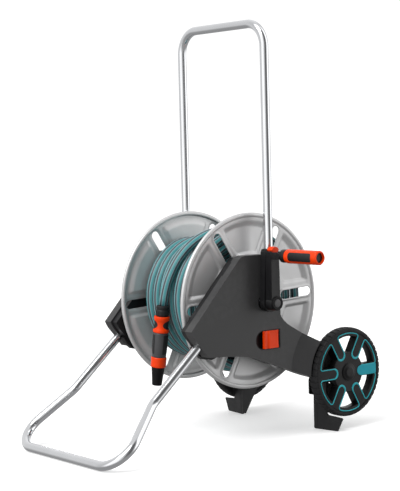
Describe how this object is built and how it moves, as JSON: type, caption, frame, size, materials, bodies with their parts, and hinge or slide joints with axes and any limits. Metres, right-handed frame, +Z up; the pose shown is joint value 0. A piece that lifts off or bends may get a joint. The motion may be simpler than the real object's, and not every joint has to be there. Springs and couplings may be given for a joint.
{
  "type": "hose reel cart",
  "caption": "Two-wheeled garden hose reel cart with a crank-turned drum, tubular foot bow, telescopic push handle and a hose ending in an adjustable nozzle.",
  "frame": {"origin": "on the floor, on the symmetry plane of the frame, straight below the drum's axis", "axes": "+X towards the crank side along the drum's axis, +Y towards the wheels, +Z up"},
  "size_m": [0.491, 0.693, 0.839],
  "materials": {
    "cover_grey": "fine satin texture",
    "frame_black": "moulded, satin",
    "steel": "zinc plated",
    "tube_chrome": "bright drawn tube",
    "bush_grey": "smooth",
    "water_black": "satin",
    "seal_rubber": "smooth",
    "orange": "semi-gloss",
    "tyre": "ribbed",
    "rim_black": "satin",
    "teal": "satin paint",
    "flange_silver": "silver powder coat",
    "hose": "ribbed, striped lengthwise",
    "soft_black": "soft touch",
    "nozzle_grey": "satin",
    "crank_black": "satin"
  },
  "bodies": {
    "cart": {"side_cover_right": "cover_grey", "side_cover_left": "cover_grey", "side_frame_right": "frame_black", "side_frame_left": "frame_black", "cover_screws": "steel", "foot_bow": "tube_chrome", "foot_clamp_screws": "steel", "rear_foot_right": "frame_black", "rear_foot_left": "frame_black", "foot_screws": "steel", "wheel_axle": "steel", "axle_clips": "steel", "hub_bush_right": "bush_grey", "hub_bush_left": "bush_grey", "handle_guides": "bush_grey", "latch_housing_right": "frame_black", "latch_housing_left": "frame_black", "latch_pin_right": "steel", "latch_pin_left": "steel", "latch_spring_right": "steel", "latch_spring_left": "steel", "inlet_elbow": "water_black", "inlet_seals": "seal_rubber", "inlet_connector": "orange"},
    "handle": {"handle_bow": "tube_chrome", "handle_plugs": "frame_black"},
    "latch_right": {"latch_lever_right": "orange"},
    "latch_left": {"latch_lever_left": "orange"},
    "wheel_right": {"tyre_right": "tyre", "rim_right": "rim_black", "accent_right": "teal", "hub_cap_right": "rim_black"},
    "wheel_left": {"tyre_left": "tyre", "rim_left": "rim_black", "accent_left": "teal", "hub_cap_left": "rim_black"},
    "drum": {"drum_flange_right": "flange_silver", "drum_flange_left": "flange_silver", "drum_core": "water_black", "drum_shaft": "steel", "drum_outlet": "water_black", "flange_screws": "steel", "hose_winding": "hose", "hose_tail": "hose", "hose_nut": "soft_black", "hose_connector": "orange", "nozzle_body": "nozzle_grey", "crank_arm": "crank_black", "crank_bolt": "steel", "crank_cap": "crank_black", "fold_pin": "crank_black", "button_spring": "steel"},
    "nozzle_head": {"nozzle_ring": "orange", "nozzle_tip": "soft_black"},
    "button": {"crank_button": "orange"},
    "grip_hinge": {"grip_spindle": "crank_black", "grip_washer": "crank_black"},
    "grip": {"grip_core": "orange", "grip_inlay": "soft_black"}
  },
  "joints": [
    {"name": "handle_slide", "type": "slide", "parent": "cart", "child": "handle", "axis": [0, 0, 1], "range_m": [-0.14, 0]},
    {"name": "latch_right_turn", "type": "hinge", "parent": "cart", "child": "latch_right", "pos_m": [0.1375, 0.0348, 0.2025], "axis": [0, 0, -1], "range_deg": [-25, 0], "stiffness_Nm_per_rad": 0.1, "springref_deg": 20.05},
    {"name": "latch_left_turn", "type": "hinge", "parent": "cart", "child": "latch_left", "pos_m": [-0.1375, 0.0348, 0.2025], "axis": [0, 0, 1], "range_deg": [-25, 0], "stiffness_Nm_per_rad": 0.1, "springref_deg": 20.05},
    {"name": "wheel_right_spin", "type": "hinge", "parent": "cart", "child": "wheel_right", "pos_m": [0.16, 0.201, 0.118], "axis": [1, 0, 0], "continuous": true},
    {"name": "wheel_left_spin", "type": "hinge", "parent": "cart", "child": "wheel_left", "pos_m": [-0.16, 0.201, 0.118], "axis": [1, 0, 0], "continuous": true},
    {"name": "drum_spin", "type": "hinge", "parent": "cart", "child": "drum", "pos_m": [0, 0, 0.278], "axis": [1, 0, 0], "continuous": true},
    {"name": "nozzle_turn", "type": "hinge", "parent": "drum", "child": "nozzle_head", "pos_m": [-0.01881, -0.14571, 0.15991], "axis": [-0.1201, -0.0366, -0.9921], "range_deg": [0, 270]},
    {"name": "button_press", "type": "slide", "parent": "drum", "child": "button", "axis": [0, 0, -1], "range_m": [0, 0.003], "stiffness_N_per_m": 600, "springref_m": -0.001, "deforming": ["button_spring"]},
    {"name": "grip_fold", "type": "hinge", "parent": "drum", "child": "grip_hinge", "pos_m": [0.196, -0.004, 0.372], "axis": [0, 1, 0], "range_deg": [0, 90]},
    {"name": "grip_spin", "type": "hinge", "parent": "grip_hinge", "child": "grip", "pos_m": [0.26, -0.004, 0.372], "axis": [1, 0, 0], "continuous": true}
  ]
}
